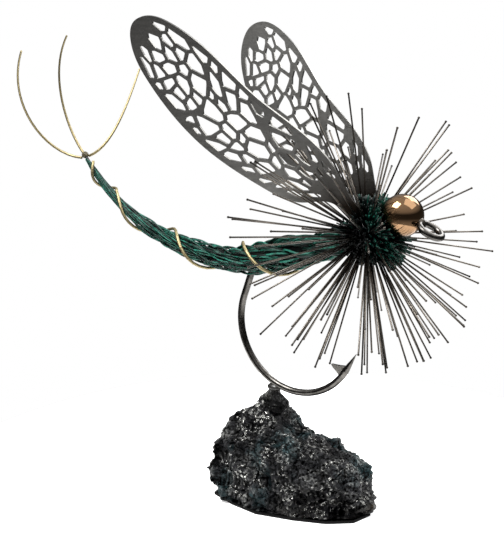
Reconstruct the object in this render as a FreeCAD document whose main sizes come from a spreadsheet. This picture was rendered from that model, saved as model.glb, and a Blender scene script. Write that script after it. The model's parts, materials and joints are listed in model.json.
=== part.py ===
"""Dry fly sculpture on a mineral base: a large metal mayfly standing on its hook.

Frame: millimetres, +Z up, +X towards the fly's head and hook eye, +Y towards the fly's left
side. The origin is the middle of the flat underside of the base.
"""
import FreeCAD
import Part
import math
import os
import random

from FreeCAD import Placement, Rotation, Vector

doc = FreeCAD.newDocument("DryFly")

# ---------------------------------------------------------------- driving sizes
SIZES = (
    ("rod_diameter", 4.0, "hook rod"),
    ("shank_pitch", 16.5, "rise of the hook shank towards the head, degrees"),
    ("hub_x", 42.0, "centre of the thorax hub"),
    ("hub_z", 162.7, "centre of the thorax hub"),
    ("hub_radius", 11.5, "thorax hub"),
    ("bead_x", 62.0, "centre of the head bead"),
    ("bead_z", 175.0, "centre of the head bead"),
    ("bead_radius", 11.1, "head bead, a 7/8 inch ball"),
    ("solder_gap", 0.05, "radial room round the rod in a soldered bore"),
    ("bend_x", -2.5, "centre of the hook's bend"),
    ("bend_z", 105.5, "centre of the hook's bend"),
    ("bend_radius", 38.6, "hook bend, to the middle of the rod"),
    ("neck_pitch", 70.0, "rise of the straight rod above the bend, degrees"),
    ("neck_radius", 14.0, "turn from the shank into the neck"),
    ("bend_end", -31.0, "angle round the bend where the point starts, degrees"),
    ("point_taper", 12.5, "length of the sharpened point"),
    ("point_tip", 0.15, "radius left at the tip of the point"),
    ("barb_width", 1.8, "barb, across the hook's plane"),
    ("eye_reach", 32.0, "hub centre to the root of the eye, along the shank"),
    ("eye_radius", 6.2, "eye ring, to the middle of its wire"),
    ("eye_wire", 3.6, "eye ring's wire, drawn thinner than the rod"),
    ("eye_drop", 30.0, "the eye is turned down by this, degrees"),
    ("bore_reach", 58.0, "eye root back to the start of the bores"),
    ("braze_length", 2.5, "half length of the braze, along the shank"),
    ("braze_radius", 3.4, "braze, across the shank"),
    ("braze_back", 0.4, "braze centre, back from the root of the eye"),
    ("wing_thickness", 1.2, "wing plate"),
    ("wing_rise", 40.3, "the wing's length over the horizontal, within its own plane, degrees"),
    ("wing_lean", 15.8, "each wing leans outwards from upright, degrees"),
    ("wing_open", 7.0, "each wing opens outwards towards the tail, degrees"),
    ("wing_root_x", 45.8, "wing root"),
    ("wing_root_y", 11.0, "wing root, either side"),
    ("wing_root_z", 178.0, "wing root"),
    ("strap_thickness", 1.5, "wing strap"),
    ("strap_width", 6.0, "wing strap, along the fly"),
    ("strap_span", 18.6, "wing strap, from flange to flange"),
    ("flange_length", 9.0, "wing strap's flange, along the wing"),
    ("flange_width", 6.0, "wing strap's flange, across the wing"),
    ("strap_back", 2.0, "rear edge of the strap, behind the hub's centre"),
    ("flange_u", 0.5, "near corner of a flange, along the wing"),
    ("flange_v", -7.5, "near corner of a flange, across the wing"),
    ("vein_width", 1.9, "metal left between two openings of a wing"),
    ("rim_width", 2.8, "metal left round the edge of a wing"),
    ("hackle_wire", 0.9, "hackle wire"),
    ("hackle_tip", 1.25, "ball at the end of a hackle wire"),
    ("hackle_short", 62.0, "shortest hackle wire, from the hub's centre"),
    ("hackle_long", 78.0, "longest hackle wire, from the hub's centre"),
    ("hackle_cone", 50.0, "no hackle wire points nearer the head than this, degrees"),
    ("hackle_full", 75.0, "wires pointing further back than this have their full length, degrees"),
    ("hackle_front", 0.92, "length of the foremost wires, as a share of the full length"),
    ("bristle_wire", 1.0, "thorax bristle"),
    ("bristle_reach", 23.5, "thorax bristle, from the hub's centre"),
    ("core_wire", 2.0, "wire inside the abdomen"),
    ("rib_wire", 1.8, "rib wire"),
    ("rib_stand_off", 0.6, "gap between the rib wire and the abdomen"),
    ("tail_root", 1.7, "tail wire at its root"),
    ("tail_end", 1.15, "tail wire at its end"),
    ("binding_radius", 2.2, "binding round the tail roots"),
    ("pad_thickness", 1.5, "felt pad"),
    ("spire_x", -17.0, "where the hook stands on the rock's spire"),
    ("spire_top", 66.0, "top of the spire"),
    ("pin_diameter", 2.5, "mounting pin"),
    ("pin_depth", 14.0, "mounting pin, inside the rock"),
    ("pin_room", 0.1, "radial room for glue round the pin"),
    ("pin_stand", 3.0, "mounting pin, above the spire"),
    ("glue_height", 2.5, "half height of the glue collar"),
    ("glue_length", 4.6, "half length of the glue collar, along the bend"),
    ("glue_width", 3.4, "half width of the glue collar"),
    ("glue_lift", 0.7, "glue collar's centre, above the spire"),
)

sheet = doc.addObject("Spreadsheet::Sheet", "Sizes")
for row, (alias, value, note) in enumerate(SIZES, start=1):
    sheet.set(f"A{row}", note)
    sheet.set(f"B{row}", str(value))
    sheet.setAlias(f"B{row}", alias)
doc.recompute()


def size(alias):
    """A driving size, read back from the sheet."""
    return float(sheet.get(alias))


# ---------------------------------------------------------------- helpers
def plane_point(x, z):
    """A point in the fly's middle plane."""
    return Vector(x, 0, z)


def heading(pitch):
    """Unit vector in the middle plane, rising by pitch degrees from +X."""
    angle = math.radians(pitch)
    return plane_point(math.cos(angle), math.sin(angle))


def add(kind, label, **formulas):
    """A document object with its properties bound to the sheet."""
    piece = doc.addObject(kind, label)
    for prop, formula in formulas.items():
        piece.setExpression(prop.replace("__", "."), formula)
    return piece


def solid_node(label, shape):
    """A sub-part whose shape is worked out in code."""
    node = doc.addObject("Part::Feature", label)
    node.Shape = shape
    node.Placement = Placement()
    return node


def cut(label, base, *tools):
    """The base object less each of the tools in turn."""
    for number, tool in enumerate(tools, start=1):
        last = number == len(tools)
        result = doc.addObject("Part::Cut", label if last else f"{label}_step_{number}")
        result.Base = base
        result.Tool = tool
        base = result
    return base


def fuse(label, *pieces):
    """One solid out of several that overlap."""
    result = doc.addObject("Part::MultiFuse", label)
    result.Shapes = list(pieces)
    return result


def body_plane(body, role):
    """One of a body's own origin planes."""
    return next(item for item in body.Origin.OriginFeatures if item.Role == role)


def body_sketch(body, label, role, points):
    """A closed outline of straight edges on one of the body's origin planes."""
    sketch = body.newObject("Sketcher::SketchObject", label)
    sketch.AttachmentSupport = (body_plane(body, role), [""])
    sketch.MapMode = "FlatFace"
    corners = [Vector(x, y, 0) for x, y in points]
    for start, end in zip(corners, corners[1:] + corners[:1]):
        sketch.addGeometry(Part.LineSegment(start, end), False)
    return sketch


def pad(body, sketch, length, midplane=False):
    """The sketch made solid over a length bound to the sheet."""
    feature = body.newObject("PartDesign::Pad", sketch.Name + "_pad")
    feature.Profile = sketch
    feature.setExpression("Length", length)
    feature.Midplane = midplane
    body.Tip = feature
    return feature


def smooth_edge(points):
    """A smooth curve through a few points."""
    curve = Part.BSplineCurve()
    curve.interpolate(points)
    return curve.toShape()


# A direction that no bar starts along.
NEVER_ALONG = Vector(0.2, 1, 0.1)


def tube_through(centres, radii):
    """A round bar through a row of centres, its radius changing from one to the next."""
    along = centres[1] - centres[0]
    across = along.cross(NEVER_ALONG).normalize()
    rings = []
    for number, centre in enumerate(centres):
        before = centres[max(number - 1, 0)]
        after = centres[min(number + 1, len(centres) - 1)]
        along = (after - before).normalize()
        across = (across - along * across.dot(along)).normalize()
        circle = Part.Circle(Vector(), Vector(0, 0, 1), radii[number])
        ring = Part.Wire(circle.toShape())
        ring.Placement = Placement(centre, Rotation(across, Vector(), along, "ZXY"))
        rings.append(ring)
    return Part.makeLoft(rings, True, True)


EDGE_SHARE = 0.42
NEARLY_STRAIGHT = math.radians(84)


def corner_round(before, corner, after, radius):
    """Start, middle and end of the arc that rounds a corner, or the bare corner if nearly straight."""
    back = before - corner
    ahead = after - corner
    half_angle = back.getAngle(ahead) / 2
    if half_angle > NEARLY_STRAIGHT:
        return (corner,)
    reach = min(radius / math.tan(half_angle), EDGE_SHARE * min(back.Length, ahead.Length))
    start = corner + back.normalize() * reach
    end = corner + ahead.normalize() * reach
    bisector = (back + ahead).normalize()
    middle = corner + bisector * (reach / math.cos(half_angle) - reach * math.tan(half_angle))
    return start, middle, end


def rounded_loop(corners, radius):
    """A closed outline with its corners rounded, none by more than its edges allow."""
    points = [Vector(x, y, 0) for x, y in corners]
    following = points[1:] + points[:1]
    rounds = [corner_round(points[number - 1], corner, following[number], radius)
              for number, corner in enumerate(points)]
    edges = []
    for this, other in zip(rounds, rounds[1:] + rounds[:1]):
        if len(this) > 1:
            edges.append(Part.Arc(*this).toShape())
        edges.append(Part.LineSegment(this[-1], other[0]).toShape())
    return Part.Wire(edges)


# ---------------------------------------------------------------- hook
HUB = plane_point(size("hub_x"), size("hub_z"))
BEAD = plane_point(size("bead_x"), size("bead_z"))
SHANK = heading(size("shank_pitch"))
EYE_ROOT = HUB + SHANK * size("eye_reach")
EYE_CENTRE = EYE_ROOT + heading(-size("eye_drop")) * size("eye_radius")
BEND = plane_point(size("bend_x"), size("bend_z"))


def on_bend(angle):
    """A point of the rod's middle line round the bend."""
    return BEND + heading(angle) * size("bend_radius")


def hook_path():
    """Middle line of the rod: shank, neck and round bend."""
    neck = heading(size("neck_pitch"))
    bend_start = size("neck_pitch") + 90
    neck_foot = on_bend(bend_start)
    gap = HUB - neck_foot
    reach = (gap.x * SHANK.z - gap.z * SHANK.x) / (neck.x * SHANK.z - neck.z * SHANK.x)
    corner = neck_foot + neck * reach
    turn = math.radians(size("neck_pitch") - size("shank_pitch"))
    tangent = size("neck_radius") * math.tan(turn / 2)
    shank_end = corner + SHANK * tangent
    neck_top = corner - neck * tangent
    inward = (SHANK - neck).normalize()
    turn_centre = corner + inward * (size("neck_radius") / math.cos(turn / 2))
    turn_middle = turn_centre - inward * size("neck_radius")
    bend_end = on_bend(size("bend_end"))
    bottom = on_bend((bend_start + 360 + size("bend_end")) / 2)
    edges = [
        Part.LineSegment(EYE_ROOT, shank_end),
        Part.Arc(shank_end, turn_middle, neck_top),
        Part.LineSegment(neck_top, neck_foot),
        Part.Arc(neck_foot, bottom, bend_end),
    ]
    return Part.Wire([edge.toShape() for edge in edges])


def make_hook():
    """One rod drawn to a point at one end and turned into a ring at the other."""
    path = solid_node("hook_path", hook_path())
    section = add("Part::Circle", "hook_section", Radius="Sizes.rod_diameter / 2")
    section.Placement = Placement(EYE_ROOT, Rotation(Vector(0, 0, 1), SHANK))
    rod = doc.addObject("Part::Sweep", "hook_rod")
    rod.Sections = [section]
    rod.Spine = (path, [f"Edge{number + 1}" for number in range(len(path.Shape.Edges))])
    rod.Solid = True
    point = add("Part::Cone", "hook_point", Radius1="Sizes.rod_diameter / 2",
                Radius2="Sizes.point_tip", Height="Sizes.point_taper")
    point.Placement = Placement(on_bend(size("bend_end")),
                                Rotation(Vector(0, 0, 1), heading(size("bend_end") + 90)))
    eye = add("Part::Torus", "hook_eye", Radius1="Sizes.eye_radius", Radius2="Sizes.eye_wire / 2")
    eye.Placement = Placement(EYE_CENTRE, Rotation(Vector(0, 0, 1), heading(90 - size("eye_drop"))))
    return fuse("hook", rod, point, eye)


def make_barb(hook):
    """A flat hooked spur raised from the inner side of the point, leaning back to the bend."""
    body = doc.addObject("PartDesign::Body", "hook_barb_spur")
    outline = ((21.5, 88), (22.5, 86.5), (25.5, 84), (26.5, 82), (28.5, 83), (32, 88.5), (26.5, 88))
    sketch = body_sketch(body, "hook_barb_outline", "XZ_Plane", outline)
    pad(body, sketch, "Sizes.barb_width", midplane=True)
    return cut("hook_barb", body, hook)


def shank_bore(label):
    """The hole that the shank passes through, longer than anything strung on it."""
    bore = add("Part::Cylinder", label, Radius="Sizes.rod_diameter / 2 + Sizes.solder_gap",
               Height="Sizes.bore_reach + Sizes.rod_diameter")
    start = EYE_ROOT - SHANK * size("bore_reach")
    bore.Placement = Placement(start, Rotation(Vector(0, 0, 1), SHANK))
    return bore


def make_bead():
    """Polished ball, bored below its middle so that it rides high on the shank."""
    ball = add("Part::Sphere", "head_ball", Radius="Sizes.bead_radius")
    ball.Placement = Placement(BEAD, Rotation())
    return cut("head_bead", ball, shank_bore("head_bore"))


def make_hub():
    """Ball inside the thorax that the hackle wires and bristles are set in."""
    ball = add("Part::Sphere", "hub_ball", Radius="Sizes.hub_radius")
    ball.Placement = Placement(HUB, Rotation())
    return cut("thorax_hub", ball, shank_bore("hub_bore"))


def make_eye_weld(hook, bead):
    """Bead of braze that closes the eye ring against the head."""
    blob = add("Part::Ellipsoid", "eye_braze", Radius1="Sizes.braze_length",
               Radius2="Sizes.braze_radius", Radius3="Sizes.braze_radius")
    blob.Placement = Placement(EYE_ROOT - SHANK * size("braze_back"), Rotation(Vector(0, 0, 1), SHANK))
    return cut("eye_weld", blob, hook, bead)


# ---------------------------------------------------------------- base
FOOTPRINT = (
    (-45, -22), (-28, -27), (-10, -29), (12, -23), (29, -16), (41, -6), (44, 8),
    (35, 22), (17, 31), (-8, 32), (-30, 26), (-43, 12), (-47, -6),
)

# Height, scale along X and Y, and shift along X and Y of the footprint at that height.
ROCK_LEVELS = (
    (0.0, 1.00, 1.00, 0.0, 0.0),
    (6.0, 1.08, 1.06, -1.0, 0.0),
    (14.0, 1.11, 1.06, -1.5, 0.0),
    (22.0, 1.10, 1.00, -2.0, 0.0),
    (30.0, 0.98, 0.86, -4.0, 0.0),
    (37.0, 0.78, 0.66, -10.0, 3.0),
    (42.0, 0.50, 0.50, -23.0, 3.0),
    (47.0, 0.36, 0.42, -25.0, 2.0),
    (53.0, 0.24, 0.30, -22.0, 1.0),
    (60.0, 0.15, 0.20, -17.7, 0.5),
)
SPIRE_CAP = (0.055, 0.085, 0.1, 0.0)
ROCK_ROUGHNESS = 0.06
ROCK_LIFT = 20
PIN_FOOT = plane_point(size("spire_x"), size("spire_top") - size("pin_depth"))


def rock_rings():
    """The rock's corners, one ring of them at each height."""
    chance = random.Random(12)
    cap = (size("spire_top") - size("pad_thickness"), SPIRE_CAP[0], SPIRE_CAP[1],
           size("spire_x") + SPIRE_CAP[2], SPIRE_CAP[3])
    rings = []
    for number, (height, along, across, shift_x, shift_y) in enumerate(ROCK_LEVELS + (cap,)):
        swing = ROCK_ROUGHNESS if 0 < number < len(ROCK_LEVELS) else 0
        ring = []
        for x, y in FOOTPRINT:
            grow = 1 + chance.uniform(-swing, swing)
            lift = chance.uniform(-swing, swing) * ROCK_LIFT
            ring.append(Vector(shift_x + x * along * grow, shift_y + y * across * grow,
                               size("pad_thickness") + height + lift))
        rings.append(ring)
    return rings


def flat_facet(*corners):
    """One flat face of the rock."""
    return Part.Face(Part.makePolygon(list(corners) + [corners[0]]))


def make_rock():
    """Rough mineral with a spire, its underside sawn flat, drilled for the pin."""
    rings = rock_rings()
    facets = [flat_facet(*rings[0]), flat_facet(*rings[-1])]
    for lower, upper in zip(rings, rings[1:]):
        for number in range(len(lower)):
            following = (number + 1) % len(lower)
            facets.append(flat_facet(lower[number], lower[following], upper[following]))
            facets.append(flat_facet(lower[number], upper[following], upper[number]))
    solid = Part.makeSolid(Part.makeShell(facets))
    stone = solid_node("rock_stone", solid)
    hole = add("Part::Cylinder", "pin_hole", Radius="Sizes.pin_diameter / 2 + Sizes.pin_room",
               Height="Sizes.pin_depth * 2")
    hole.Placement = Placement(PIN_FOOT, Rotation())
    return cut("rock_base", stone, hole)


def make_pad():
    """Felt under the rock."""
    body = doc.addObject("PartDesign::Body", "base_pad")
    outline = body_sketch(body, "pad_outline", "XY_Plane", FOOTPRINT)
    pad(body, outline, "Sizes.pad_thickness")
    return body


def make_pin(hook):
    """Steel pin brazed to the underside of the bend and glued into the spire."""
    rod = add("Part::Cylinder", "pin_rod", Radius="Sizes.pin_diameter / 2",
              Height="Sizes.pin_depth + Sizes.pin_stand")
    rod.Placement = Placement(PIN_FOOT, Rotation())
    return cut("mounting_pin", rod, hook)


def make_glue(hook, rock, pin):
    """Collar of clear glue where the hook stands on the spire."""
    collar = add("Part::Ellipsoid", "glue_collar", Radius1="Sizes.glue_height",
                 Radius2="Sizes.glue_length", Radius3="Sizes.glue_width")
    middle = plane_point(size("spire_x"), size("spire_top") + size("glue_lift"))
    collar.Placement = Placement(middle, Rotation())
    return cut("spire_glue", collar, hook, rock, pin)


# ---------------------------------------------------------------- wings
LEADING_EDGE = (
    (-1, -1.5), (11, 1), (25, 7.5), (50, 11), (80, 9.5), (115, 12), (138, 10), (152, 4), (157, -5),
)
TRAILING_EDGE = ((152, -16), (134, -27), (90, -36), (50, -31), (27, -21), (12, -9), (-1, -7.5))
WING_OUTLINE = LEADING_EDGE + TRAILING_EDGE

# The long veins, as shares of the way from the leading to the trailing edge.
LONG_VEINS = (0.0, 0.18, 0.34, 0.5, 0.66, 0.83, 1.0)

# For each row between two long veins: openings, and the slant of its cross-veins in mm.
WING_ROWS = ((11, 4.0), (11, 3.0), (12, 1.0), (12, -1.0), (13, -3.0), (12, -6.0))
CELLS_START = 20
CELLS_END = 149
CELL_UNEVEN = 0.3
CROSS_UNEVEN = 0.16
VEIN_WAVE = 0.025
VEIN_WAVE_LENGTH = 34
VEIN_KINK = 1.1
FULL_CHORD = 40
THINNEST_VEIN = 0.6
SMALLEST_CELL = 1.3
SHORTEST_EDGE = 0.5
CELL_CORNER = 0.9


def edge_height(edge, along):
    """How far across the wing an edge lies, at a distance along it."""
    points = sorted(edge)
    for (x0, y0), (x1, y1) in zip(points, points[1:]):
        if along <= x1:
            return y0 + (y1 - y0) * max(along - x0, 0) / (x1 - x0)
    return points[-1][1]


def wing_edges(along):
    """Leading and trailing edge of the wing at a distance along it."""
    return edge_height(LEADING_EDGE, along), edge_height(TRAILING_EDGE + (LEADING_EDGE[-1],), along)


def thinning(along):
    """How much thinner the veins are where the wing is narrow."""
    top, bottom = wing_edges(along)
    return max(THINNEST_VEIN, min(1.0, (top - bottom) / FULL_CHORD))


def vein_height(number, along):
    """How far across the wing a long vein lies, waving a little between the two edges."""
    top, bottom = wing_edges(along)
    spare = (size("rim_width") - size("vein_width") / 2) * thinning(along)
    if number == 0:
        return top - spare
    if number == len(WING_ROWS):
        return bottom + spare
    wave = VEIN_WAVE * math.sin(along / VEIN_WAVE_LENGTH * 2 * math.pi + number * 2)
    return top + (bottom - top) * (LONG_VEINS[number] + wave)


def cross_veins(number, chance):
    """Upper and lower end of each cross-vein in a row, staggered from the rows beside it."""
    count, slant = WING_ROWS[number]
    pitch = (CELLS_END - CELLS_START) / count
    stagger = (number % 2) / 2
    crosses = []
    for cross in range(count + 1 - number % 2):
        middle = CELLS_START + pitch * (cross + stagger + chance.uniform(-CELL_UNEVEN, CELL_UNEVEN))
        lean = slant / 2 + pitch * chance.uniform(-CROSS_UNEVEN, CROSS_UNEVEN)
        crosses.append((middle + lean, middle - lean))
    return crosses


def vein_corners(number, rows):
    """Where cross-veins meet a long vein, each pulling it a little towards its own row."""
    kink = VEIN_KINK if 0 < number < len(WING_ROWS) else 0.0
    corners = []
    if number > 0:
        corners += [(lower, kink) for upper, lower in rows[number - 1]]
    if number < len(WING_ROWS):
        corners += [(upper, -kink) for upper, lower in rows[number]]
    return [(x, vein_height(number, x) + pull * thinning(x)) for x, pull in sorted(corners)]


def between(corners, start, end):
    """The corners from one distance along the wing to another."""
    return [corner for corner in corners if start <= corner[0] <= end]


def cut_back(corners, first, second, inset):
    """What is left of an outline on the right of a line moved inwards."""
    along = (second[0] - first[0], second[1] - first[1])
    length = math.hypot(*along)
    depths = [(along[1] * (x - first[0]) - along[0] * (y - first[1])) / length - inset for x, y in corners]
    kept = []
    for number, corner in enumerate(corners):
        before = corners[number - 1]
        if (depths[number - 1] < 0) != (depths[number] < 0):
            share = depths[number - 1] / (depths[number - 1] - depths[number])
            kept.append(tuple(a + (b - a) * share for a, b in zip(before, corner)))
        if depths[number] >= 0:
            kept.append(corner)
    return kept


def without_short_edges(corners):
    """The outline less any corner that lies almost on the one before it."""
    return tuple(corner for number, corner in enumerate(corners)
                 if math.dist(corner, corners[number - 1]) > SHORTEST_EDGE)


def is_open_enough(corners):
    """Whether an outline is wide enough to cut."""
    if len(corners) < 3:
        return False
    pairs = list(zip(corners, corners[1:] + corners[:1]))
    area = abs(sum(x0 * y1 - x1 * y0 for (x0, y0), (x1, y1) in pairs)) / 2
    return area > SMALLEST_CELL * sum(math.dist(*pair) for pair in pairs) / 2


def row_cells(number, rows):
    """The openings of one row, each between two cross-veins and two long veins."""
    upper = vein_corners(number, rows)
    lower = vein_corners(number + 1, rows)
    cells = []
    for near, far in zip(rows[number], rows[number][1:]):
        outline = between(upper, near[0], far[0]) + between(lower, near[1], far[1])[::-1]
        inset = size("vein_width") / 2 * thinning((near[0] + far[0]) / 2)
        opening = outline
        for first, second in zip(outline, outline[1:] + outline[:1]):
            opening = cut_back(opening, first, second, inset)
        opening = without_short_edges(opening)
        if is_open_enough(opening):
            cells.append(opening)
    return cells


def wing_cells():
    """Every opening of a wing; both wings are cut to one pattern."""
    chance = random.Random(5)
    rows = [cross_veins(number, chance) for number in range(len(WING_ROWS))]
    return [cell for number in range(len(WING_ROWS)) for cell in row_cells(number, rows)]


WING_CELLS = wing_cells()


def wing_placement(side):
    """Where a wing plate's own frame sits: side is -1 for the fly's right and 1 for its left."""
    rise = Rotation(Vector(0, -1, 0), 180 - size("wing_rise"))
    flat_to_upright = Rotation(Vector(1, 0, 0), 90)
    lean = Rotation(Vector(1, 0, 0), -side * size("wing_lean"))
    spread = Rotation(Vector(0, 0, 1), -side * size("wing_open"))
    turn = spread * lean * rise * flat_to_upright * Rotation(Vector(1, 0, 0), 180)
    root = Vector(size("wing_root_x"), side * size("wing_root_y"), size("wing_root_z"))
    return Placement(root, turn)


def make_wing(label, side):
    """A flat plate with the veins left standing between its openings."""
    rim = Part.BSplineCurve()
    rim.interpolate([Vector(x, y, 0) for x, y in WING_OUTLINE], PeriodicFlag=True)
    holes = [rounded_loop(corners, CELL_CORNER) for corners in WING_CELLS]
    plate = Part.Face(Part.Wire(rim.toShape()))
    for hole in holes:
        plate = plate.cut(Part.Face(hole))
    thickness = size("wing_thickness")
    node = doc.addObject("Part::Feature", label)
    node.Shape = plate.Faces[0].extrude(Vector(0, 0, thickness))
    node.Placement = wing_placement(side) * Placement(Vector(0, 0, -thickness / 2), Rotation())
    return node


def make_strap():
    """Bent strap across the top of the hub, with a flange welded to the inner side of each wing."""
    bridge = add("Part::Box", "strap_bridge", Length="Sizes.strap_width", Width="Sizes.strap_span",
                 Height="Sizes.strap_thickness")
    bridge.Placement = Placement(Vector(size("hub_x") - size("strap_back"), -size("strap_span") / 2,
                                        size("hub_z") + size("hub_radius")), Rotation())
    flanges = []
    for side, name in ((-1, "right"), (1, "left")):
        flange = add("Part::Box", f"strap_flange_{name}", Length="Sizes.flange_length",
                     Width="Sizes.flange_width", Height="Sizes.strap_thickness")
        half = size("wing_thickness") / 2
        inner = half if wing_faces_in(side) else -half - size("strap_thickness")
        corner = Vector(size("flange_u"), size("flange_v"), inner)
        flange.Placement = wing_placement(side) * Placement(corner, Rotation())
        flanges.append(flange)
    return fuse("wing_strap", bridge, *flanges)


def wing_faces_in(side):
    """Whether the plate's own +Z points at the fly's middle plane."""
    normal = wing_placement(side).Rotation.multVec(Vector(0, 0, 1))
    return normal.y * side < 0


# ---------------------------------------------------------------- abdomen
# X, Z and radius of the abdomen at points along its middle, from tail to hub.
ABDOMEN = (
    (-165, 192, 1.5), (-138, 166, 3), (-106, 149, 5), (-67, 140, 7), (-46, 139, 8),
    (-20, 144, 10), (1, 150, 10.5), (31, 159, 8.5),
)
ABDOMEN_LINE = smooth_edge([plane_point(x, z) for x, z, radius in ABDOMEN])
SLEEVE_STATIONS = 26
CORE_STATIONS = 16
CORE_END = 0.58

# The rib wire, in distances along the abdomen: one close turn, then open turns of an even pitch.
RIB_START = 6
RIB_FIRST_PITCH = 27
RIB_PITCH = 55
RIB_END = 178
RIB_STEPS_PER_TURN = 18


def abdomen_radius(x):
    """Radius of the abdomen at x, between the stated points."""
    for (x0, z0, r0), (x1, z1, r1) in zip(ABDOMEN, ABDOMEN[1:]):
        if x <= x1:
            return r0 + (r1 - r0) * max(x - x0, 0) / (x1 - x0)
    return ABDOMEN[-1][2]


def abdomen_point(distance):
    """Point and heading of the abdomen's middle line at a distance from the tail."""
    place = ABDOMEN_LINE.getParameterByLength(distance)
    return ABDOMEN_LINE.valueAt(place), ABDOMEN_LINE.tangentAt(place).normalize()


def make_core():
    """Wire that stiffens the abdomen from the tail up to the hook's neck."""
    length = ABDOMEN_LINE.Length * CORE_END
    centres = [abdomen_point(length * step / CORE_STATIONS)[0] for step in range(CORE_STATIONS + 1)]
    return solid_node("abdomen_core", tube_through(centres, [size("core_wire") / 2] * len(centres)))


def make_sleeve(core, hook):
    """The twisted strands as one tapered sleeve round the core and the shank."""
    length = ABDOMEN_LINE.Length
    centres = [abdomen_point(length * step / SLEEVE_STATIONS)[0] for step in range(SLEEVE_STATIONS + 1)]
    radii = [abdomen_radius(centre.x) for centre in centres]
    outer = solid_node("abdomen_outer", tube_through(centres, radii))
    return cut("abdomen_strands", outer, core, hook)


def rib_distance(turns):
    """Distance along the abdomen after a number of turns of the rib wire."""
    if turns < 1:
        return RIB_START + RIB_FIRST_PITCH * turns
    return RIB_START + RIB_FIRST_PITCH + RIB_PITCH * (turns - 1)


def make_rib():
    """Brass wire wound openly round the abdomen."""
    centres = []
    step = 0
    distance = RIB_START
    while distance < RIB_END:
        middle, along = abdomen_point(distance)
        side = Vector(0, -1, 0)
        top = side.cross(along)
        angle = 2 * math.pi * step / RIB_STEPS_PER_TURN
        reach = abdomen_radius(middle.x) + size("rib_stand_off") + size("rib_wire") / 2
        centres.append(middle + top * reach * math.cos(angle) + side * reach * math.sin(angle))
        step += 1
        distance = rib_distance(step / RIB_STEPS_PER_TURN)
    return solid_node("rib_wire", tube_through(centres, [size("rib_wire") / 2] * len(centres)))


# ---------------------------------------------------------------- tails
# Each tail is one curve: its root, where its root points, where its end comes from, and its end.
TAILS = {
    "tail_right": ((-167, -2, 191.5), (-195, -6, 192), (-205, -30, 225), (-168, -47, 258)),
    "tail_middle": ((-166.5, 0, 193.5), (-180, 0, 206), (-198, 0, 242), (-178.5, 0, 268)),
    "tail_left": ((-164.5, 2, 192.5), (-148, 4, 198), (-155, 26, 218), (-161, 48, 247)),
}
TAIL_STATIONS = 20
BINDING_SHARE = 0.7


def make_tail(label, poles):
    """One tapered wire, curving up and out from the end of the abdomen."""
    curve = Part.BezierCurve()
    curve.setPoles([Vector(*pole) for pole in poles])
    centres = curve.toShape().discretize(Number=TAIL_STATIONS)
    taper = size("tail_root") - size("tail_end")
    radii = [(size("tail_root") - taper * step / (TAIL_STATIONS - 1)) / 2 for step in range(TAIL_STATIONS)]
    return solid_node(label, tube_through(centres, radii))


def make_binding(tails):
    """Knot of thread and glue round the tail roots, just past the end of the abdomen."""
    knot = add("Part::Sphere", "binding_knot", Radius="Sizes.binding_radius")
    middle, along = abdomen_point(0)
    knot.Placement = Placement(middle - along * size("binding_radius") * BINDING_SHARE, Rotation())
    return cut("tail_binding", knot, doc.getObject("abdomen_outer"), *tails)


# ---------------------------------------------------------------- hackle and bristles
HACKLE_RINGS = 10
HACKLE_DIRECTIONS = 225
HACKLE_TRIES = 30
HACKLE_SWING = 0.16
LONG_WIRE_BIAS = 0.8
BRISTLE_DIRECTIONS = 420
BRISTLE_CONE = (20, 106)
BRISTLE_SHORTEST = 0.86
BRISTLE_LEAN = 0.2
BRISTLE_SWING = 0.15
BRISTLE_GAP = 0.05
BRISTLE_WIRE_GAP = 0.45
GOLDEN_TURN = math.pi * (3 - math.sqrt(5))
GAPE_LOW = Vector(-29, -6.5, 81)
GAPE_HIGH = Vector(13, 6.5, 113)
STEP = 0.4
ROD_MARGIN = 1.0
ABDOMEN_MARGIN = 0.8
FLANGE_MARGIN = 3.4
TIP_MARGIN = 0.1
WING_MARGIN = 0.12
SEAT_GAP = 0.05


def clamp(value):
    """The value held between 0 and 1."""
    return max(0.0, min(1.0, value))


def point_gap(start, end, point):
    """Shortest distance from a straight piece to a point."""
    along = end - start
    return (start + along * clamp((point - start).dot(along) / along.dot(along)) - point).Length


# Two straight pieces with less spread than this run side by side.
PARALLEL = 1e-9


def piece_gap(first, second):
    """Shortest distance between two straight pieces, each a pair of ends."""
    along = first[1] - first[0]
    other = second[1] - second[0]
    offset = first[0] - second[0]
    mixed = along.dot(other)
    spread = along.dot(along) * other.dot(other) - mixed * mixed
    share = 0.0
    if spread > PARALLEL:
        share = clamp((mixed * other.dot(offset) - other.dot(other) * along.dot(offset)) / spread)
    other_share = clamp((mixed * share + other.dot(offset)) / other.dot(other))
    share = clamp((mixed * other_share - along.dot(offset)) / along.dot(along))
    return (first[0] + along * share - second[0] - other * other_share).Length


def inside(x, y, corners):
    """Whether a point lies within a closed outline of straight edges."""
    within = False
    for (x0, y0), (x1, y1) in zip(corners, corners[1:] + corners[:1]):
        if (y0 > y) != (y1 > y) and x < x0 + (y - y0) * (x1 - x0) / (y1 - y0):
            within = not within
    return within


def touches_plate(x, y, room):
    """Whether a spot on a wing, or anything within room of it, is metal."""
    around = [(x + across, y + along) for across in (-room, room) for along in (-room, room)]
    if not any(inside(*spot, WING_OUTLINE) for spot in around):
        return False
    return not any(all(inside(*spot, cell) for spot in around) for cell in WING_CELLS)


def hits_wing(start, end, side, room):
    """Whether a straight wire meets a wing plate instead of passing by it or through an opening."""
    to_plate = wing_placement(side).inverse()
    local_start = to_plate.multVec(start)
    local_end = to_plate.multVec(end)
    near = size("wing_thickness") / 2 + room
    steps = int((end - start).Length / STEP) + 1
    for step in range(steps + 1):
        spot = local_start + (local_end - local_start) * (step / steps)
        if abs(spot.z) < near and touches_plate(spot.x, spot.y, room):
            return True
    return False


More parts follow.
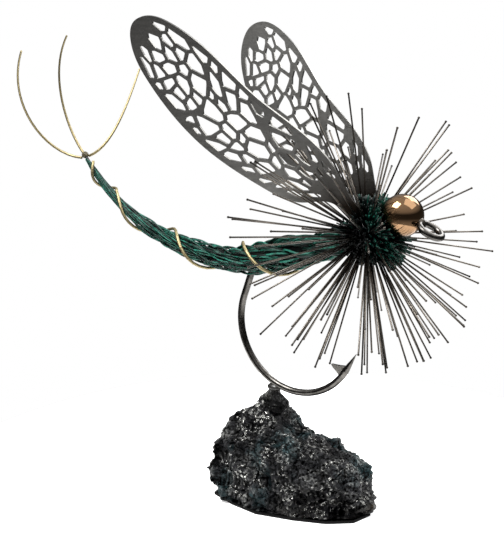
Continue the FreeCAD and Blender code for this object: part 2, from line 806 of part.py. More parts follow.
def passes_box(start, end, low, high):
    """Whether a straight wire passes through a box."""
    steps = int((end - start).Length / STEP)
    for step in range(steps + 1):
        spot = start + (end - start) * (step / steps)
        if all(low[axis] < spot[axis] < high[axis] for axis in range(3)):
            return True
    return False


STRAP_CENTRE = HUB + plane_point(size("strap_width") / 2 - size("strap_back"),
                                 size("hub_radius") + size("strap_thickness") / 2)
FLANGE_MIDDLE = Vector(size("flange_u") + size("flange_length") / 2,
                       size("flange_v") + size("flange_width") / 2, 0)
STRAP_HALF = Vector(size("strap_width") / 2, size("strap_span") / 2 + 1, size("strap_thickness") / 2)
ABDOMEN_CHECK_PLACES = range(40, int(ABDOMEN_LINE.Length), 6)
BEND_CHECK_ANGLES = range(-40, 165, 8)
ABDOMEN_CHECKS = [abdomen_point(distance)[0] for distance in ABDOMEN_CHECK_PLACES]
BEND_CHECKS = [on_bend(angle) for angle in BEND_CHECK_ANGLES]


def clear_of_fly(start, end, room):
    """Whether a straight wire of radius room misses the head, strap, hook and abdomen."""
    margin = Vector(room, room, room)
    if point_gap(start, end, BEAD) < size("bead_radius") + room:
        return False
    if point_gap(start, end, EYE_CENTRE) < size("eye_radius") + size("eye_wire") / 2 + room:
        return False
    if piece_gap((start, end), (HUB, EYE_ROOT)) < size("rod_diameter") / 2 + room:
        return False
    from_rod = size("rod_diameter") / 2 + ROD_MARGIN + room
    if any(point_gap(start, end, spot) < from_rod for spot in BEND_CHECKS):
        return False
    for spot in ABDOMEN_CHECKS:
        if point_gap(start, end, spot) < abdomen_radius(spot.x) + size("rib_wire") + ABDOMEN_MARGIN + room:
            return False
    if passes_box(start, end, STRAP_CENTRE - STRAP_HALF - margin, STRAP_CENTRE + STRAP_HALF + margin):
        return False
    if passes_box(start, end, GAPE_LOW, GAPE_HIGH):
        return False
    for side in (-1, 1):
        flange_middle = wing_placement(side).multVec(FLANGE_MIDDLE)
        if point_gap(start, end, flange_middle) < size("flange_width") / 2 + FLANGE_MARGIN + room:
            return False
    return True


def clear_of_wings(start, end, radius, tip_radius):
    """Whether a straight wire passes both wings, by their edges or through their openings."""
    tip_start = end + (start - end).normalize() * tip_radius
    for side in (-1, 1):
        if hits_wing(start, end, side, radius + WING_MARGIN):
            return False
        if hits_wing(tip_start, end, side, tip_radius + WING_MARGIN):
            return False
    return True


def spread_directions(count):
    """Directions spread evenly round the shank, from the head backwards."""
    frame = Rotation(Vector(0, 0, 1), SHANK)
    directions = []
    for number in range(count):
        height = 1 - 2 * (number + 0.5) / count
        ring = math.sqrt(1 - height * height)
        angle = number * GOLDEN_TURN
        directions.append(frame.multVec(Vector(ring * math.cos(angle), ring * math.sin(angle), height)))
    return directions


def swung(direction, swing, chance):
    """A direction turned a little at random."""
    return (direction + Vector(*(chance.uniform(-swing, swing) for axis in range(3)))).normalize()


def hackle_share(direction):
    """A wire's length as a share of a full one: less for those that point forwards."""
    from_head = math.degrees(direction.getAngle(SHANK))
    back = clamp((from_head - size("hackle_cone")) / (size("hackle_full") - size("hackle_cone")))
    return size("hackle_front") + (1 - size("hackle_front")) * back


def pick_hackle():
    """Straight wires that stand out all round the hub and miss everything else."""
    chance = random.Random(41)
    room = size("hackle_tip") / 2 + TIP_MARGIN
    wires = []
    for direction in spread_directions(HACKLE_DIRECTIONS):
        for number in range(HACKLE_TRIES):
            root = swung(direction, HACKLE_SWING / 2, chance)
            if math.degrees(root.getAngle(SHANK)) < size("hackle_cone"):
                continue
            start = HUB + root * (size("hub_radius") + SEAT_GAP)
            share = chance.random() ** LONG_WIRE_BIAS
            reach = size("hackle_short") + (size("hackle_long") - size("hackle_short")) * share
            reach *= hackle_share(root)
            end = start + swung(root, HACKLE_SWING / 2, chance) * (reach - size("hub_radius"))
            apart = all(piece_gap((start, end), wire) > room + TIP_MARGIN for wire in wires)
            passes = clear_of_wings(start, end, size("hackle_wire") / 2, size("hackle_tip") / 2)
            if apart and passes and clear_of_fly(start, end, room):
                wires.append((start, end))
                break
    return wires


def ball_tipped_wire(start, end):
    """One hackle wire with a small ball on its end."""
    wire_radius = size("hackle_wire") / 2
    ball_radius = size("hackle_tip") / 2
    length = (end - start).Length
    neck = length - math.sqrt(ball_radius ** 2 - wire_radius ** 2)
    top = Vector(0, 0, length + ball_radius)
    profile = [
        Part.LineSegment(Vector(0, 0, 0), Vector(wire_radius, 0, 0)),
        Part.LineSegment(Vector(wire_radius, 0, 0), Vector(wire_radius, 0, neck)),
        Part.Arc(Vector(wire_radius, 0, neck), Vector(ball_radius, 0, length), top),
        Part.LineSegment(top, Vector(0, 0, 0)),
    ]
    outline = Part.Face(Part.Wire([edge.toShape() for edge in profile]))
    wire = outline.revolve(Vector(0, 0, 0), Vector(0, 0, 1), 360)
    wire.Placement = Placement(start, Rotation(Vector(0, 0, 1), end - start))
    return wire


def make_hackle(wires):
    """The wires in rings, from the one nearest the head to the one nearest the tail."""
    in_order = sorted(wires, key=lambda wire: -SHANK.dot((wire[1] - HUB).normalize()))
    share = math.ceil(len(in_order) / HACKLE_RINGS)
    for number in range(HACKLE_RINGS):
        ring = in_order[number * share:(number + 1) * share]
        shape = Part.makeCompound([ball_tipped_wire(*wire) for wire in ring])
        solid_node(f"hackle_ring_{number + 1:02d}", shape)


def make_bristles(wires):
    """Short stiff green bristles round the front of the thorax, between the hackle wires."""
    chance = random.Random(7)
    radius = size("bristle_wire") / 2
    placed = []
    for direction in spread_directions(BRISTLE_DIRECTIONS):
        from_head = math.degrees(direction.getAngle(SHANK))
        if not BRISTLE_CONE[0] < from_head < BRISTLE_CONE[1]:
            continue
        start = HUB + direction * (size("hub_radius") + SEAT_GAP)
        reach = size("bristle_reach") * chance.uniform(BRISTLE_SHORTEST, 1.0) - size("hub_radius")
        end = start + swung(direction + SHANK * BRISTLE_LEAN, BRISTLE_SWING, chance) * reach
        apart = all(piece_gap((start, end), wire) > radius + BRISTLE_WIRE_GAP for wire in wires)
        apart = apart and all(piece_gap((start, end), other) > 2 * radius + BRISTLE_GAP for other in placed)
        passes = clear_of_wings(start, end, radius, radius)
        if apart and passes and clear_of_fly(start, end, radius + TIP_MARGIN):
            placed.append((start, end))
    rods = [Part.makeCylinder(radius, (end - start).Length, start, end - start) for start, end in placed]
    return solid_node("thorax_bristles", Part.makeCompound(rods))


# ---------------------------------------------------------------- build
hook = make_hook()
make_barb(hook)
bead = make_bead()
make_hub()
make_eye_weld(hook, bead)
rock = make_rock()
make_pad()
pin = make_pin(hook)
make_glue(hook, rock, pin)
make_wing("wing_right", -1)
make_wing("wing_left", 1)
make_strap()
core = make_core()
sleeve = make_sleeve(core, hook)
make_rib()
tails = [make_tail(label, poles) for label, poles in TAILS.items()]
make_binding(tails)
hackle = pick_hackle()
make_hackle(hackle)
make_bristles(hackle)
doc.recompute()

NODES = [
    "rock_base", "base_pad", "mounting_pin", "spire_glue", "hook", "hook_barb", "eye_weld",
    "head_bead", "thorax_hub", "thorax_bristles", "wing_strap", "wing_right", "wing_left",
    "abdomen_core", "abdomen_strands", "rib_wire", "tail_right", "tail_middle", "tail_left",
    "tail_binding",
] + [f"hackle_ring_{number + 1:02d}" for number in range(HACKLE_RINGS)]

for item in doc.Objects:
    if "Invalid" in item.State or "Error" in item.State:
        raise RuntimeError(f"{item.Label} failed: {item.State}")

os.makedirs("parts", exist_ok=True)
for label in NODES:
    shape = doc.getObjectsByLabel(label)[0].Shape
    if shape.isNull() or not shape.isValid():
        raise RuntimeError(f"{label} has no valid shape")
    shape.exportStep(f"parts/{label}.step")
    print(f"{label}: {len(shape.Solids)} solids, {shape.Volume:.1f} mm3")
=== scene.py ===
"""The dry fly's finished look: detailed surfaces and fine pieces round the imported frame.

Metres, in the frame's own axes: +Z up, +X towards the fly's head, +Y towards its left side.
"""
import json
import math
import random

import bpy
import numpy as np
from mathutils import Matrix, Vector, noise
from mathutils.bvhtree import BVHTree


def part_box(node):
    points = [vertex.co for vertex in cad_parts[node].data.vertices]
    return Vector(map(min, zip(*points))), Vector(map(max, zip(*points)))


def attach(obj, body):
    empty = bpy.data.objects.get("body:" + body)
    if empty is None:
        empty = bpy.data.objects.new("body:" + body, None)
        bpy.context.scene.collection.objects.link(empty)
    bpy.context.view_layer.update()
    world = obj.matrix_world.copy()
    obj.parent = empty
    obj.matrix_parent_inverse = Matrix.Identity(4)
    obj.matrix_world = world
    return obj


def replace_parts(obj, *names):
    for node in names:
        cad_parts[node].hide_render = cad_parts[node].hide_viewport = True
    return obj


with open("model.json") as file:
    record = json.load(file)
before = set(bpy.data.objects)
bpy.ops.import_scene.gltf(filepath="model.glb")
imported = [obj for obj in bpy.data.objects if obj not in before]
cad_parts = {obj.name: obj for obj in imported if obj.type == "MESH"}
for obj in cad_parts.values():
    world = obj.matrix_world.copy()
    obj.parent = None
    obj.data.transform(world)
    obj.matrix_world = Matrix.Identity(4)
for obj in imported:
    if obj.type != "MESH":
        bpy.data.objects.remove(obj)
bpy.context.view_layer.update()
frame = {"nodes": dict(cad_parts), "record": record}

MM = 0.001

# ---------------------------------------------------------------- camera, light and floor
CAMERA_AZIMUTH = 36.0
CAMERA_ELEVATION = 12.25
CAMERA_DISTANCE = 0.562
CAMERA_TARGET = Vector((-0.0333, 0.0, 0.1337))
CAMERA_LENS = 64.6
CAMERA_SENSOR = 36
CAMERA_NEAR = 10 * MM

# Each light's name, place, side in metres and power in watts.
LIGHTS = (
    ("key", Vector((-0.3, -0.5, 1.15)), 0.6, 24),
    ("fill", Vector((0.6, 0.25, 1.2)), 1.0, 7),
    ("back", Vector((0.1, 0.9, 0.9)), 0.7, 10),
)

# Brightness of the room from straight down to straight up.
ROOM_SHADES = ((0.0, (0.7, 0.7, 0.7)), (0.25, (0.42, 0.42, 0.42)), (0.4, (0.06, 0.06, 0.06)),
               (0.6, (0.04, 0.04, 0.04)), (0.72, (0.5, 0.5, 0.5)), (1.0, (1.0, 1.0, 1.0)))
ROOM_STRENGTH = 1.0
BACKDROP_STRENGTH = 1.0
WHITE = (1, 1, 1, 1)
FLOOR_COLOUR = (0.93, 0.93, 0.93, 1)
FLOOR_ROUGHNESS = 0.9
FLOOR_GLOW = 0.45
FLOOR_RADIUS = 0.24
FLOOR_SIDES = 96


def add_camera():
    """The camera looks at the fly from its right side, a little from the front and above."""
    turn = math.radians(CAMERA_AZIMUTH)
    tilt = math.radians(CAMERA_ELEVATION)
    back = Vector((math.sin(turn) * math.cos(tilt), -math.cos(turn) * math.cos(tilt), math.sin(tilt)))
    data = bpy.data.cameras.new("camera")
    data.lens = CAMERA_LENS
    data.sensor_width = CAMERA_SENSOR
    data.clip_start = CAMERA_NEAR
    camera = bpy.data.objects.new("camera", data)
    camera.location = CAMERA_TARGET + back * CAMERA_DISTANCE
    camera.rotation_euler = back.to_track_quat("Z", "Y").to_euler()
    bpy.context.collection.objects.link(camera)
    bpy.context.scene.camera = camera


def add_light(name, place, size, power):
    """A soft square light aimed at the middle of the fly."""
    data = bpy.data.lights.new(name, "AREA")
    data.size = size
    data.energy = power
    light = bpy.data.objects.new(name, data)
    light.location = place
    light.rotation_euler = (place - CAMERA_TARGET).to_track_quat("Z", "Y").to_euler()
    bpy.context.collection.objects.link(light)


def add_floor():
    """A plain pale round floor with a faint glow of its own."""
    mesh = bpy.data.meshes.new("floor")
    turns = [2 * math.pi * side / FLOOR_SIDES for side in range(FLOOR_SIDES)]
    rim = [(FLOOR_RADIUS * math.cos(turn), FLOOR_RADIUS * math.sin(turn), 0) for turn in turns]
    mesh.from_pydata(rim, [], [tuple(range(FLOOR_SIDES))])
    floor = bpy.data.objects.new("floor", mesh)
    bpy.context.collection.objects.link(floor)
    paint, _, shader = new_material("floor_paint")
    shader.inputs["Base Color"].default_value = FLOOR_COLOUR
    shader.inputs["Roughness"].default_value = FLOOR_ROUGHNESS
    shader.inputs["Emission Color"].default_value = WHITE
    shader.inputs["Emission Strength"].default_value = FLOOR_GLOW
    mesh.materials.append(paint)


def add_world():
    """A white backdrop, with soft light from above and a darker room for the metal to mirror."""
    world = bpy.data.worlds.new("studio")
    world.use_nodes = True
    tree = world.node_tree
    room = tree.nodes["Background"]
    direction = tree.nodes.new("ShaderNodeTexCoord")
    split = tree.nodes.new("ShaderNodeSeparateXYZ")
    tree.links.new(direction.outputs["Generated"], split.inputs["Vector"])
    shade = ramp(tree, remap(tree, split.outputs["Z"], 0.0, 1.0, -1.0, 1.0), ROOM_SHADES)
    tree.links.new(shade, room.inputs["Color"])
    room.inputs["Strength"].default_value = ROOM_STRENGTH
    backdrop = tree.nodes.new("ShaderNodeBackground")
    backdrop.inputs["Strength"].default_value = BACKDROP_STRENGTH
    backdrop.inputs["Color"].default_value = WHITE
    seen = tree.nodes.new("ShaderNodeLightPath")
    mixer = tree.nodes.new("ShaderNodeMixShader")
    tree.links.new(seen.outputs["Is Camera Ray"], mixer.inputs["Fac"])
    tree.links.new(room.outputs["Background"], mixer.inputs[1])
    tree.links.new(backdrop.outputs["Background"], mixer.inputs[2])
    tree.links.new(mixer.outputs["Shader"], tree.nodes["World Output"].inputs["Surface"])
    bpy.context.scene.world = world
    bpy.context.scene.view_settings.view_transform = "Standard"


# ---------------------------------------------------------------- material helpers
# Most values of a noise texture lie between these two.
NOISE_LOW = 0.3
NOISE_HIGH = 0.7

# A metal's colour noise has this share of its grain's scale, so its patches are coarser.
PATCH_SHARE = 0.2
GRAIN_DETAIL = 8.0
METAL_RELIEF = 0.02 * MM

# The worn colour comes in between these two values of Pointiness, up to this share.
EDGE_START = 0.52
EDGE_END = 0.62
EDGE_SHARE = 0.55

# Dark colours by distance from the hub's centre: heat stain deepened with painted shade, the hackle's
# far ends, and painted shade in the bristle collar.
HUB_STAIN_SHADE_START = 22 * MM
HUB_STAIN_SHADE_REACH = 56 * MM
HUB_STAIN_SHADE_COLOUR = (0.012, 0.009, 0.0065)
TIP_START = 78 * MM
TIP_REACH = 54 * MM
TIP_COLOUR = (0.012, 0.011, 0.01)
SHADE_START = 15 * MM
SHADE_REACH = 21 * MM
SHADE_COLOUR = (0.0006, 0.0012, 0.001)

# The Mix node's sockets that carry the factor and the colours.
MIX_FACTOR = 0
MIX_FIRST = 6
MIX_SECOND = 7
MIX_RESULT = 2


def centre_of(node):
    """Middle of a CAD node's box."""
    low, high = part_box(node)
    return (low + high) / 2


def new_material(name):
    """An empty material with its node tree and shader."""
    material = bpy.data.materials.new(name)
    material.use_nodes = True
    return material, material.node_tree, material.node_tree.nodes["Principled BSDF"]


def coordinates(tree, stretch=(1, 1, 1)):
    """Object coordinates in metres, stretched for drawn or brushed grain."""
    source = tree.nodes.new("ShaderNodeTexCoord")
    mapping = tree.nodes.new("ShaderNodeMapping")
    mapping.inputs["Scale"].default_value = stretch
    tree.links.new(source.outputs["Object"], mapping.inputs["Vector"])
    return mapping.outputs["Vector"]


def noise_texture(tree, vector, scale, detail=4.0):
    """Smooth noise; scale is in cycles per metre."""
    node = tree.nodes.new("ShaderNodeTexNoise")
    node.inputs["Scale"].default_value = scale
    node.inputs["Detail"].default_value = detail
    tree.links.new(vector, node.inputs["Vector"])
    return node.outputs["Fac"]


def cell_texture(tree, vector, scale):
    """Voronoi cells: (random colour of each cell, distance to its middle)."""
    node = tree.nodes.new("ShaderNodeTexVoronoi")
    node.inputs["Scale"].default_value = scale
    tree.links.new(vector, node.inputs["Vector"])
    return node.outputs["Color"], node.outputs["Distance"]


def ramp(tree, value, stops):
    """Colours at the stated places along a value."""
    node = tree.nodes.new("ShaderNodeValToRGB")
    elements = node.color_ramp.elements
    while len(elements) < len(stops):
        elements.new(0.5)
    for element, (place, colour) in zip(elements, stops):
        element.position = place
        element.color = (*colour, 1)
    tree.links.new(value, node.inputs["Fac"])
    return node.outputs["Color"]


def two_tones(tree, value, dark, light):
    """Dark where a noise is low and light where it is high."""
    return ramp(tree, value, ((NOISE_LOW, dark), (NOISE_HIGH, light)))


def remap(tree, value, low, high, start=NOISE_LOW, end=NOISE_HIGH):
    """A value between start and end spread over low to high."""
    node = tree.nodes.new("ShaderNodeMapRange")
    node.inputs["From Min"].default_value = start
    node.inputs["From Max"].default_value = end
    node.inputs["To Min"].default_value = low
    node.inputs["To Max"].default_value = high
    tree.links.new(value, node.inputs["Value"])
    return node.outputs["Result"]


def mix_colours(tree, factor, first, second):
    """First colour where the factor is 0 and second where it is 1."""
    node = tree.nodes.new("ShaderNodeMix")
    node.data_type = "RGBA"
    tree.links.new(factor, node.inputs[MIX_FACTOR])
    tree.links.new(first, node.inputs[MIX_FIRST])
    tree.links.new(second, node.inputs[MIX_SECOND])
    return node.outputs[MIX_RESULT]


def add_bump(tree, shader, height, distance):
    """Relief on the shader's surface; distance is in metres."""
    node = tree.nodes.new("ShaderNodeBump")
    node.inputs["Distance"].default_value = distance
    node.inputs["Strength"].default_value = 1.0
    tree.links.new(height, node.inputs["Height"])
    tree.links.new(node.outputs["Normal"], shader.inputs["Normal"])


def edge_wear(tree, worn, body):
    """The worn colour where an edge stands proud, and the body's colour elsewhere."""
    geometry = tree.nodes.new("ShaderNodeNewGeometry")
    factor = remap(tree, geometry.outputs["Pointiness"], 0.0, EDGE_SHARE, EDGE_START, EDGE_END)
    colour = tree.nodes.new("ShaderNodeRGB")
    colour.outputs[0].default_value = (*worn, 1)
    return mix_colours(tree, factor, body, colour.outputs[0])


def darker_near_hub(tree, body, dark, start, reach):
    """The dark colour up to start from the hub's centre, and the body's colour from reach on.

    With start beyond reach it is the far end that turns dark.
    """
    source = tree.nodes.new("ShaderNodeTexCoord")
    away = tree.nodes.new("ShaderNodeVectorMath")
    away.operation = "DISTANCE"
    away.inputs[1].default_value = centre_of("thorax_hub")
    tree.links.new(source.outputs["Object"], away.inputs[0])
    factor = remap(tree, away.outputs["Value"], 0.0, 1.0, start, reach)
    colour = tree.nodes.new("ShaderNodeRGB")
    colour.outputs[0].default_value = (*dark, 1)
    return mix_colours(tree, factor, colour.outputs[0], body)


def metal(name, dark, light, rough, grain, stretch=(1, 1, 1), worn=None, relief=METAL_RELIEF,
          stain_and_shade=False, tips=False):
    """Metal with uneven colour, roughness and fine relief.

    worn colours the edges that stand proud, stain_and_shade is heat stain deepened with painted
    shade round the hub, and tips is the dark far end of the hackle wires.
    """
    material, tree, shader = new_material(name)
    vector = coordinates(tree, stretch)
    broad = noise_texture(tree, vector, grain * PATCH_SHARE)
    fine = noise_texture(tree, vector, grain, GRAIN_DETAIL)
    colour = two_tones(tree, broad, dark, light)
    if worn:
        colour = edge_wear(tree, worn, colour)
    # Heat stain and painted shade: darker towards the hub's centre.
    if stain_and_shade:
        colour = darker_near_hub(tree, colour, HUB_STAIN_SHADE_COLOUR, HUB_STAIN_SHADE_START, HUB_STAIN_SHADE_REACH)
    if tips:
        colour = darker_near_hub(tree, colour, TIP_COLOUR, TIP_START, TIP_REACH)
    tree.links.new(colour, shader.inputs["Base Color"])
    tree.links.new(remap(tree, fine, *rough), shader.inputs["Roughness"])
    shader.inputs["Metallic"].default_value = 1.0
    add_bump(tree, shader, fine, relief)
    return material


# ---------------------------------------------------------------- materials
def hook_material():
    """Dark polished rod with faint drawing marks."""
    return metal("hook_steel", dark=(0.038, 0.036, 0.033), light=(0.125, 0.118, 0.109),
                 rough=(0.16, 0.3), grain=900, worn=(0.25, 0.24, 0.22))


def braze_material():
    """Braze, as it ran and set."""
    return metal("braze", dark=(0.04, 0.035, 0.03), light=(0.12, 0.105, 0.085),
                 rough=(0.3, 0.5), grain=1500, relief=0.08 * MM)


def pin_material():
    """Ground steel pin."""
    return metal("pin_steel", dark=(0.4, 0.4, 0.41), light=(0.55, 0.55, 0.56),
                 rough=(0.25, 0.4), grain=1200)


def hub_material():
    """Dark steel deep in the thorax."""
    return metal("hub_steel", dark=(0.03, 0.03, 0.03), light=(0.08, 0.08, 0.08),
                 rough=(0.4, 0.6), grain=700)


def copper_material():
    """Polished copper-bronze ball with handling marks."""
    return metal("copper", dark=(0.2, 0.118, 0.062), light=(0.33, 0.2, 0.11),
                 rough=(0.07, 0.13), grain=260, relief=0.006 * MM)


def wing_material():
    """Grey sheet with brushed grain, light along its edges, and heat stain with painted shade round the
    hub.
    """
    return metal("wing_steel", dark=(0.12, 0.118, 0.112), light=(0.2, 0.197, 0.187),
                 rough=(0.26, 0.4), grain=500, stretch=(1, 1, 5), worn=(0.2, 0.195, 0.185), stain_and_shade=True)


def brass_material():
    """Drawn brass wire, a little tarnished."""
    return metal("brass_wire", dark=(0.23, 0.19, 0.1), light=(0.36, 0.3, 0.165),
                 rough=(0.46, 0.52), grain=120, relief=0.001 * MM)


def hackle_material():
    """Drawn steel wire, with heat stain and painted shade round the hub, and black towards the tips."""
    return metal("hackle_steel", dark=(0.08, 0.071, 0.06), light=(0.22, 0.197, 0.17),
                 rough=(0.24, 0.38), grain=400, stain_and_shade=True, tips=True)


# The coating of the green wire: noise scales in cycles per metre, and where its three greens lie.
STRAND_PATCHES = 420
STRAND_GRAIN = 2600
STRAND_STOPS = (0.34, 0.52, 0.72)
STRAND_ROUGH = (0.34, 0.5)
STRAND_SPECULAR = 0.25
STRAND_RELIEF = 0.04 * MM


def strand_material(name, dark, middle, light, shaded=False):
    """Coated wire, its green uneven along each strand; shaded ones get painted shade, black near the
    hub.
    """
    material, tree, shader = new_material(name)
    vector = coordinates(tree)
    broad = noise_texture(tree, vector, STRAND_PATCHES, detail=5.0)
    fine = noise_texture(tree, vector, STRAND_GRAIN, detail=6.0)
    colour = ramp(tree, broad, tuple(zip(STRAND_STOPS, (dark, middle, light))))
    # Painted shade: the bristles turn black near the hub, deep inside the collar.
    if shaded:
        colour = darker_near_hub(tree, colour, SHADE_COLOUR, SHADE_START, SHADE_REACH)
    tree.links.new(colour, shader.inputs["Base Color"])
    tree.links.new(remap(tree, fine, *STRAND_ROUGH), shader.inputs["Roughness"])
    shader.inputs["Specular IOR Level"].default_value = STRAND_SPECULAR
    add_bump(tree, shader, fine, STRAND_RELIEF)
    return material


def bristle_materials():
    """The thorax's bristles: dark green ones, and near-black copies of them as painted shade."""
    green = strand_material("green_bristle", dark=(0.0005, 0.008, 0.006),
                            middle=(0.001, 0.04, 0.027), light=(0.004, 0.12, 0.08), shaded=True)
    black = strand_material("green_bristle_painted_shade", dark=(0.0003, 0.001, 0.001),
                            middle=(0.0006, 0.004, 0.0035), light=(0.001, 0.014, 0.011), shaded=True)
    return [green, black]


def strand_materials():
    """The abdomen's strands: middle, dark and light ones, and a near-black core inside as painted shade.
    """
    return [
        strand_material("green_strand", dark=(0.001, 0.018, 0.012),
                        middle=(0.003, 0.05, 0.033), light=(0.008, 0.12, 0.082)),
        strand_material("green_strand_dark", dark=(0.0006, 0.005, 0.004),
                        middle=(0.001, 0.016, 0.011), light=(0.003, 0.04, 0.028)),
        strand_material("green_strand_light", dark=(0.004, 0.05, 0.034),
                        middle=(0.012, 0.12, 0.085), light=(0.04, 0.24, 0.17)),
        strand_material("green_strand_painted_shade", dark=(0.0002, 0.001, 0.0008),
                        middle=(0.0003, 0.0025, 0.002), light=(0.0006, 0.006, 0.005)),
    ]


# The stone's look: noise scales in cycles per metre, and the shades along each noise.
FACET_SCALE = 620
STAIN_SCALE = 34
PATCH_SCALE = 120
GRIT_SCALE = 1300
BARE_SCALE = 60
PATCH_SHADES = ((0.36, (0.004, 0.004, 0.005)), (0.5, (0.06, 0.06, 0.063)), (0.64, (0.3, 0.3, 0.29)))
STAIN_SHADES = ((0.36, (0.014, 0.06, 0.066)), (0.46, (0.01, 0.012, 0.014)),
                (0.56, (0.01, 0.01, 0.011)), (0.68, (0.055, 0.042, 0.027)))
FACET_SHADES = ((0.42, (0.012, 0.012, 0.014)), (0.58, (0.09, 0.09, 0.09)), (0.84, (0.55, 0.55, 0.52)))
# Least and greatest share of the stains over the patches.
STAIN_SHARES = (0.15, 0.75)
# Where along their noise the bare facets come in.
BARE_BAND = (0.47, 0.6)
# Painted shade in the stone's hollows: Pointiness from all black to not black.
HOLLOW_SHADE_BAND = (0.47, 0.525)
HOLLOW_SHADE_COLOUR = (0.0004, 0.0004, 0.0005)
STONE_SPECULAR = 0.2
STONE_BUMP = 1.1 * MM


def stone_material():
    """Black crystalline mineral: bright facets, blue-green and brown stains, painted shade in the
    hollows.
    """
    material, tree, shader = new_material("stone")
    vector = coordinates(tree)
    facets, middles = cell_texture(tree, vector, FACET_SCALE)
    stain = noise_texture(tree, vector, STAIN_SCALE, detail=3.0)
    patch = noise_texture(tree, vector, PATCH_SCALE, detail=5.0)
    grit = noise_texture(tree, vector, GRIT_SCALE, detail=8.0)
    body = ramp(tree, patch, PATCH_SHADES)
    stains = ramp(tree, stain, STAIN_SHADES)
    surface = mix_colours(tree, remap(tree, grit, *STAIN_SHARES), body, stains)
    crystals = ramp(tree, facets, FACET_SHADES)
    bare = noise_texture(tree, vector, BARE_SCALE, detail=4.0)
    faced = mix_colours(tree, remap(tree, bare, 0.0, 1.0, *BARE_BAND), surface, crystals)
    # Painted shade: the hollows, found by Pointiness, turn black.
    geometry = tree.nodes.new("ShaderNodeNewGeometry")
    shade_in_hollows = remap(tree, geometry.outputs["Pointiness"], 0.0, 1.0, *HOLLOW_SHADE_BAND)
    black = tree.nodes.new("ShaderNodeRGB")
    black.outputs[0].default_value = (*HOLLOW_SHADE_COLOUR, 1)
    tree.links.new(mix_colours(tree, shade_in_hollows, black.outputs[0], faced), shader.inputs["Base Color"])
    rough = remap(tree, facets, low=0.5, high=0.2, start=0.3, end=0.8)
    tree.links.new(rough, shader.inputs["Roughness"])
    metallic = remap(tree, facets, low=0.3, high=1.0)
    tree.links.new(metallic, shader.inputs["Metallic"])
    shader.inputs["Specular IOR Level"].default_value = STONE_SPECULAR
    joined = tree.nodes.new("ShaderNodeMath")
    joined.operation = "ADD"
    tree.links.new(middles, joined.inputs[0])
    tree.links.new(grit, joined.inputs[1])
    add_bump(tree, shader, joined.outputs["Value"], STONE_BUMP)
    return material


def felt_material():
    """Short-napped black felt."""
    material, tree, shader = new_material("felt")
    nap = noise_texture(tree, coordinates(tree), scale=4000, detail=10.0)
    colour = two_tones(tree, nap, dark=(0.002, 0.002, 0.002), light=(0.01, 0.01, 0.01))
    tree.links.new(colour, shader.inputs["Base Color"])
    tree.links.new(remap(tree, nap, low=0.85, high=1.0), shader.inputs["Roughness"])
    shader.inputs["Specular IOR Level"].default_value = 0.1
    add_bump(tree, shader, nap, distance=0.3 * MM)
    return material


def glue_material():
    """Dark glue, set hard, with dust in it."""
    material, tree, shader = new_material("glue")
    dust = noise_texture(tree, coordinates(tree), scale=1300, detail=6.0)
    colour = two_tones(tree, dust, dark=(0.008, 0.0075, 0.007), light=(0.03, 0.028, 0.025))
    tree.links.new(colour, shader.inputs["Base Color"])
    tree.links.new(remap(tree, dust, low=0.12, high=0.3), shader.inputs["Roughness"])
    add_bump(tree, shader, dust, distance=0.12 * MM)
    return material


THREAD_SCALE = 900
THREAD_UNEVENNESS = 2.0
# Brass-brown thread, near black where the wraps' wave is low and light where the bump raises it: painted
# shade and painted highlight.
THREAD_TONES_AND_SHADE = ((0.2, (0.012, 0.011, 0.006)), (0.8, (0.16, 0.13, 0.07)))


def thread_material():
    """Lacquered dark thread, with painted shade in the grooves between wraps and painted highlight on
    their crests.
    """
    material, tree, shader = new_material("binding_thread")
    wave = tree.nodes.new("ShaderNodeTexWave")
    wave.inputs["Scale"].default_value = THREAD_SCALE
    wave.inputs["Distortion"].default_value = THREAD_UNEVENNESS
    tree.links.new(coordinates(tree), wave.inputs["Vector"])
    wraps = wave.outputs["Fac"]
    tree.links.new(ramp(tree, wraps, THREAD_TONES_AND_SHADE), shader.inputs["Base Color"])
    tree.links.new(remap(tree, wraps, low=0.3, high=0.5), shader.inputs["Roughness"])
    add_bump(tree, shader, wraps, distance=0.15 * MM)
    return material


def dress_frame(bristles, strands):
    """Every CAD node gets the material of its slot in the record."""
    materials = {
        "stone": stone_material(), "felt": felt_material(), "pin_steel": pin_material(),
        "glue": glue_material(), "hook_steel": hook_material(), "braze": braze_material(),
        "copper": copper_material(), "hub_steel": hub_material(), "wing_steel": wing_material(),
        "brass_wire": brass_material(), "binding_thread": thread_material(),
        "hackle_steel": hackle_material(),
        "green_bristle": bristles[0], "green_strand": strands[0],
    }
    for part in frame["record"]["subparts"]:
        mesh = frame["nodes"][part["node"]].data
        mesh.materials.clear()
        mesh.materials.append(materials[part["material_slot"]])
    return materials


# ---------------------------------------------------------------- tubes
def tube_parts(points, radii, sides):
    """Corners and faces of one round strand along a row of points."""
    along = np.gradient(points, axis=0)
    along /= np.linalg.norm(along, axis=1)[:, None]
    guide = np.eye(3)[np.argmin(np.abs(along.mean(axis=0)))]
    across = np.cross(along, guide)
    across /= np.linalg.norm(across, axis=1)[:, None]
    up = np.cross(along, across)
    turns = np.arange(sides) * 2 * math.pi / sides
    ring = across[:, None] * np.cos(turns)[None, :, None] + up[:, None] * np.sin(turns)[None, :, None]
    corners = (points[:, None] + ring * radii[:, None, None]).reshape(-1, 3)
    faces = []
    for station in range(len(points) - 1):
        base = station * sides
        for side in range(sides):
            following = (side + 1) % sides
            faces.append((base + side, base + following, base + sides + following, base + sides + side))
    faces.append(tuple(range(sides))[::-1])
    faces.append(tuple(range((len(points) - 1) * sides, len(points) * sides)))
    return corners, faces


